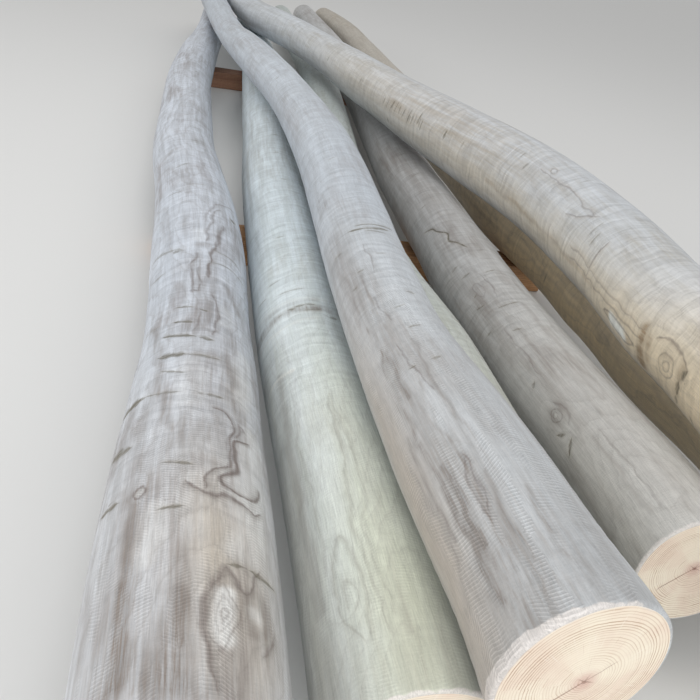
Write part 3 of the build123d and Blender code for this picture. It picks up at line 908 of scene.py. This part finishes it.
postLooks["postTopLeft"] = dict(
    plainPost, node="post_top_left", seed=61, pith=(0.004, -0.009), pale=(0.55, 0.57, 0.585),
    dim=(0.455, 0.465, 0.47), cloud=(0.32, 0.295, 0.28), cloudShare=0.45, hatch=1.9,
    stainColour=(0.225, 0.205, 0.19), figureLine=0.06, figureShade=0.08, warmToneAndShadeColour=(0.47, 0.40, 0.325),
    swells=[(700, 0, 20, 60, 0.6), (20, 0, 30, 500, 0.4)],
    growth=[(151, -37, 40, 10, 1.2)],
    # painted shade: the left flank near the butt browner and darker, where it faces away from the light
    warmToneAndShade=[(150, -92, 340, 30, 0.75)],
    # painted sky light: a bluish tint along the top of the post
    paintedLight=[(500, 20, 900, 40, 0.35)],
    darker=[(170, -52, 200, 17, 0.42), (30, -42, 60, 14, 0.25), (60, -20, 240, 60, 0.20),
        (600, -50, 220, 40, 0.20), (60, -10, 90, 40, 0.20), (400, -50, 180, 22, 0.20),
        (1545, -60, 40, 12, 0.30), (1912, -50, 40, 50, 0.22), (2150, -20, 50, 60, 0.2),
        (1400, 20, 60, 40, 0.12), (845, -58, 45, 14, 0.2)],
    marks=dict(
        line=[(2.2, .55, [(118, -37), (140, -35), (168, -36), (188, -38)]),
            (1.6, .45, [(112, -39), (136, -41), (166, -41), (182, -39)]),
            (2.2, .5, [(280, -28), (330, -34), (380, -38)]), (2.0, .4, [(430, -30), (470, -34), (500, -38)]),
            (2.0, .4, [(560, -24), (600, -22), (640, -25)])],
        stain=[(7, .5, [(40, -58), (70, -61), (100, -57), (130, -62), (165, -59), (200, -63), (230, -60)]),
            (6, .55, [(95, -50), (125, -54), (150, -51), (190, -55)]),
            (8, .4, [(230, -64), (262, -58), (290, -62), (330, -58)]),
            (5, .45, [(120, -70), (170, -72), (250, -68)]),
            (7, .4, [(290, -50), (320, -53), (350, -49), (385, -52)]),
            (5, .35, [(60, -80), (140, -76), (220, -79)]),
            (4, .40, [(60, -42), (120, -39), (210, -41), (300, -36)]),
            (5, .4, [(345, -62), (400, -56), (450, -58)]), (4, .35, [(200, -22), (290, -25), (380, -21)]),
            (4, .3, [(30, -28), (90, -30), (160, -26)]), (4, .35, [(20, -8), (60, -11), (130, -8)]),
            (9, .35, [(420, -44), (480, -40), (560, -41)]), (6, .3, [(470, -66), (520, -62), (600, -64)]),
            (16, .3, [(820, -70), (850, -50)]), (14, .3, [(880, -65), (905, -45)])],
        pale=(),
        scar=[(3, .6, [(335, -38), (335, -32)]), (3, .6, [(335, -14), (336, -6)]),
            (2.6, .6, [(404, -18), (407, -4)]), (3, .5, [(497, 3), (498, 13)]),
            (2.6, .5, [(546, -60), (546, -52)]), (2.6, .5, [(572, -47), (571, -37)]),
            (4.5, .85, [(694, -34), (689, -6), (698, 22)]), (3.4, .7, [(707, -24), (705, 4), (716, 30)]),
            (2.4, .5, [(681, -12), (682, 14)]), (3, .5, [(1145, -77), (1145, -69)]),
            (3.4, .5, [(1724, -47), (1724, -37)]), (3.4, .5, [(1912, -100), (1912, -90)]),
            (2.4, .4, [(455, -20), (460, -8)]), (2.4, .4, [(610, -12), (606, 0)]),
            (2.6, .4, [(655, -70), (650, -58)]), (2.6, .35, [(1020, -30), (1024, -16)])]))

postLooks["postTopRight"] = dict(
    plainPost, node="post_top_right", seed=71, facing=-65, pith=(0.003, 0.005), pale=(0.58, 0.585, 0.585),
    dim=(0.48, 0.48, 0.465), cloud=(0.36, 0.31, 0.23), cloudShare=0.4, hatch=0.5, figureLine=0.08,
    figureShade=0.14, ripple=1.15, warmToneAndShadeColour=(0.77, 0.65, 0.475), stainColour=(0.34, 0.245, 0.155),
    paleMark=(0.90, 0.89, 0.82),
    swells=[(713, -110, 40, 12, 0.6)],
    growth=[(713, -110, 70, 15, 2.0), (580, -95, 60, 14, 1.2)],
    # painted warm shade: the lower left flank golden, as light bouncing off the posts below makes it
    warmToneAndShade=[(560, -108, 380, 44, 0.85), (1200, -105, 500, 28, 0.5), (430, -60, 220, 60, 0.45),
        (2050, -80, 600, 60, 0.35)],
    darker=[(1720, -78, 110, 14, 0.14), (1500, -50, 450, 60, 0.18), (1600, -60, 700, 90, 0.10)],
    marks=dict(
        line=[(3.0, .6, [(617, -82), (600, -77), (578, -76), (550, -78), (526, -83)]),
            (2.0, .45, [(598, -100), (590, -91), (576, -88), (562, -91), (555, -100), (562, -109),
                (576, -112), (590, -109), (598, -100)]),
            (1.8, .4, [(586, -100), (581, -95), (571, -95), (566, -100), (571, -105), (581, -105),
                (586, -100)]), (2.0, .45, [(650, -97), (790, -98), (930, -95)]),
            (2.0, .4, [(650, -86), (780, -88), (930, -84)]),
            (2.2, .6, [(660, -110), (690, -116), (730, -116), (768, -110), (730, -104), (690, -104),
                (660, -110)]), (2.2, .5, [(847, -108), (843, -80), (849, -51)]),
            (1.8, .5, [(1124, -30), (1130, -26), (1140, -26), (1146, -30), (1140, -34), (1130, -34),
                (1124, -30)]), (2.2, .45, [(930, -40), (1050, -37), (1166, -40)]),
            (2.4, .5, [(1000, -60), (960, -50), (930, -38)])],
        stain=[(17, 1.1, [(650, -84), (648, -104), (646, -124)]), (10, .5, [(630, -88), (628, -112)]),
            (14, .5, [(536, -88), (543, -110)]), (8, .3, [(800, -100), (1300, -98)])],
        pale=[(18, 1.5, [(694, -110), (734, -110)])],
        scar=[(5, .95, [(526, -84), (534, -95)]), (5, .9, [(538, -99), (542, -112)]),
            (4, .7, [(543, -116), (545, -127)]), (5, .6, [(502, -121), (503, -130)]),
            (3, .5, [(1205, -55), (1205, -45)]), (3, .5, [(1242, -41), (1243, -31)]),
            (3, .5, [(1425, -76), (1425, -68)]), (4, .8, [(1497, -79), (1495, -64)]),
            (3, .6, [(1600, -88), (1598, -70)]), (3.4, .7, [(1622, -86), (1618, -64)]),
            (3, .6, [(1645, -88), (1643, -72)]), (3.6, .7, [(1668, -90), (1664, -66)]),
            (3, .6, [(1690, -84), (1688, -66)]), (3, .6, [(1712, -88), (1709, -70)]),
            (3.4, .7, [(1736, -86), (1732, -66)]), (3, .6, [(1760, -84), (1758, -68)]),
            (3, .5, [(1784, -88), (1781, -72)]), (3, .5, [(1810, -86), (1807, -70)]),
            (6, .7, [(1771, -113), (1771, -107)]), (3.4, .5, [(2009, -77), (2009, -67)]),
            (3.4, .5, [(2337, -77), (2337, -67)]), (2.4, .5, [(880, -70), (884, -50)]),
            (2.4, .45, [(905, -64), (908, -40)]), (2.4, .4, [(1060, -20), (1064, -2)])]))

endWood = endMaterial()
for name, look in postLooks.items():
    piece = buildPost(name, look)
    piece.data.materials.append(sideMaterial(name + "Side", look))
    piece.data.materials.append(endWood)
    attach(piece, "root")
    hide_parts(look["node"])
    print("built", name, len(piece.data.polygons), "faces")


sawnBearer = dict(cuts=(90, 11, 9), crowd=0.6, wornEdge=0.004, skin=0.0003, smoothAngle=40,
                  dents=26, dentDepth=0.00035, dentWaves=(60, 160, 160))


def buildBearer(name, look):
    low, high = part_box(look["node"])
    half = np.array(high - low) / 2
    middle = np.array(high + low) / 2
    bpy.ops.object.select_all(action="DESELECT")
    bpy.ops.mesh.primitive_cube_add(size=2, location=(0, 0, 0))
    piece = bpy.context.object
    piece.name = name
    mesh = piece.data
    for axis, cuts in enumerate(sawnBearer["cuts"]):
        subdivideAlong(mesh, axis, cuts)
    unit = pointsOf(mesh)
    crowd = sawnBearer["crowd"]
    for axis in (1, 2):
        unit[:, axis] = (1 - crowd) * unit[:, axis] + crowd * np.sin(unit[:, axis] * math.pi / 2)
    points = unit * half
    # arrises worn round, then the sawn faces pressed in unevenly
    edge = sawnBearer["wornEdge"] * (1 + 0.3 * np.sin(points[:, 0] * 23 + look["seed"]))[:, None]
    core = half - edge
    over = np.clip(np.abs(points) - core, 0, None)
    reach = np.linalg.norm(over, axis=1, keepdims=True)
    rounded = np.minimum(np.abs(points), core) + over * edge / np.maximum(reach, 1e-9)
    points = np.where(reach > edge, np.sign(points) * rounded, points)
    draw = random.Random(look["seed"])
    dent = np.zeros(len(points))
    for _ in range(sawnBearer["dents"]):
        way = np.array([draw.uniform(-most, most) for most in sawnBearer["dentWaves"]])
        dent += np.cos(points @ way + draw.uniform(0, 6.28)) / sawnBearer["dents"] ** 0.5
    row, face = np.arange(len(points)), np.abs(unit).argmax(1)
    inward = sawnBearer["skin"] + sawnBearer["dentDepth"] * np.clip(1 + dent, 0, 3)
    points[row, face] -= np.sign(unit[row, face]) * inward
    mesh.vertices.foreach_set("co", (points + middle).ravel())
    mesh.update()
    bpy.ops.object.select_all(action="DESELECT")
    piece.select_set(True)
    bpy.ops.object.shade_smooth_by_angle(angle=math.radians(sawnBearer["smoothAngle"]))
    return piece


def bearerMaterial(name, look):
    material, tree, shader = newMaterial(name)
    x, y, z = apart(put("TexCoord", {}, tree).outputs["Object"])
    place = joined(y, x, z)      # lengthwise on Y, as on the posts
    fibre = use(fibreGroup, {"Place": place})
    heartY, heartZ = look["heart"]
    fromHeart = vectors("LENGTH", joined(minus(y, heartY), minus(z, heartZ)))
    bent = times(noise(stretched(place, 0.12), 14.0, 3.0), 3.5)
    late = ramp(maths("FRACT", times(fromHeart, 210.0, bent)), 0.35, 0.95)
    colour = blend(ramp(fibre["Streak"], 0.35, 0.68), look["pale"], look["dim"])
    colour = blend(times(late, 0.55), colour, look["late"])
    colour = blend(ramp(fibre["Cloud"], 0.5, 0.75, 0.0, 0.5), colour, look["grime"])
    sawn = noise(vectors("MULTIPLY", place, (0.12, 1.0, 0.12)), 330.0, 2.0, 0.6)
    value = times(minus(fibre["Fine"]), 0.5, 1.0)
    value = times(minus(sawn), 0.35, value)
    feed(shader.inputs["Base Color"], shaded(colour, value))
    feed(shader.inputs["Roughness"], ramp(fibre["Fibre"], 0.3, 0.7, 0.62, 0.82))
    height = times(sawn, 0.6, times(fibre["Fibre"], 0.5))
    roughen(shader, 0.7, 0.0009, times(late, 0.25, height))
    return material


bearerLooks = dict(
    bearerNear=dict(node="bearer_near", seed=3, heart=(-0.80, -0.03), pale=(0.56, 0.33, 0.17),
                    dim=(0.46, 0.25, 0.12), late=(0.32, 0.15, 0.065), grime=(0.24, 0.17, 0.12)),
    bearerFar=dict(node="bearer_far", seed=5, heart=(0.80, -0.05), pale=(0.34, 0.18, 0.11),
                   dim=(0.26, 0.13, 0.08), late=(0.16, 0.075, 0.045), grime=(0.13, 0.09, 0.07)))

for name, look in bearerLooks.items():
    piece = buildBearer(name, look)
    piece.data.materials.append(bearerMaterial(name + "Wood", look))
    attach(piece, "root")
    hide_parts(look["node"])
    print("built", name, len(piece.data.polygons), "faces")


studio = dict(floorSize=40, floorDrop=0.0002, floorColour=(0.72, 0.72, 0.71), skyStrength=0.60,
              spread=150, flatness=0.55)

lamps = dict(
    keyLight=dict(place=(-0.4, -0.9, 4.2), aim=(0, 0.0, 0.1), size=3.0, power=29),
    frontLight=dict(place=(0.3, -6.6, 2.5), aim=(0, -1.6, 0.1), size=4.2, power=88),
    sideLight=dict(place=(-5.2, -3.2, 1.9), aim=(0.3, -1.2, 0.1), size=3.4, power=62))


def layFloor():
    bpy.ops.object.select_all(action="DESELECT")
    bpy.ops.mesh.primitive_plane_add(size=studio["floorSize"], location=(0, 0, cadLow[2] - studio["floorDrop"]))
    floor = bpy.context.object
    floor.name = "floor"
    bpy.ops.object.transform_apply(location=True, rotation=True, scale=True)
    material, _, shader = newMaterial("floorPaint")
    shader.inputs["Base Color"].default_value = (*studio["floorColour"], 1)
    shader.inputs["Roughness"].default_value = 0.9
    floor.data.materials.append(material)


def hangLamp(name, look):
    data = bpy.data.lights.new(name, "AREA")
    data.shape = "ELLIPSE"
    data.size = look["size"]
    data.size_y = look["size"] * studio["flatness"]
    data.energy = look["power"]
    data.spread = math.radians(studio["spread"])
    lamp = bpy.data.objects.new(name, data)
    bpy.context.collection.objects.link(lamp)
    lamp.location = look["place"]
    lamp.rotation_euler = (Vector(look["aim"]) - Vector(look["place"])).to_track_quat("-Z", "Y").to_euler()


layFloor()
for name, look in lamps.items():
    hangLamp(name, look)
world = bpy.data.worlds.new("studioWorld")
scene.world = world
world.use_nodes = True
world.node_tree.nodes["Background"].inputs["Color"].default_value = (1, 1, 1, 1)
world.node_tree.nodes["Background"].inputs["Strength"].default_value = studio["skyStrength"]
print("floor laid, lamps hung:", ", ".join(lamps))

photoView = dict(sensor=36, lens=41.14, left=0.029, back=0.180, height=0.740,
                 yaw=14.65, pitch=-29.45, roll=11.31)


def placeCamera():
    butt, _ = endDisc(trianglesOf("post_left"), -1)
    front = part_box("post_left")[0].y
    data = bpy.data.cameras.new("photoCamera")
    data.sensor_width = photoView["sensor"]
    data.lens = photoView["lens"]
    data.clip_start = 0.01
    camera = bpy.data.objects.new("photoCamera", data)
    bpy.context.collection.objects.link(camera)
    turn = (Matrix.Rotation(math.radians(-photoView["yaw"]), 4, "Z")
            @ Matrix.Rotation(math.radians(90 + photoView["pitch"]), 4, "X")
            @ Matrix.Rotation(math.radians(photoView["roll"]), 4, "Z"))
    spot = (butt[0] - photoView["left"], front - photoView["back"], cadLow[2] + photoView["height"])
    camera.matrix_world = Matrix.Translation(spot) @ turn
    scene.camera = camera
    print("camera at", [round(v, 3) for v in spot])


placeCamera()
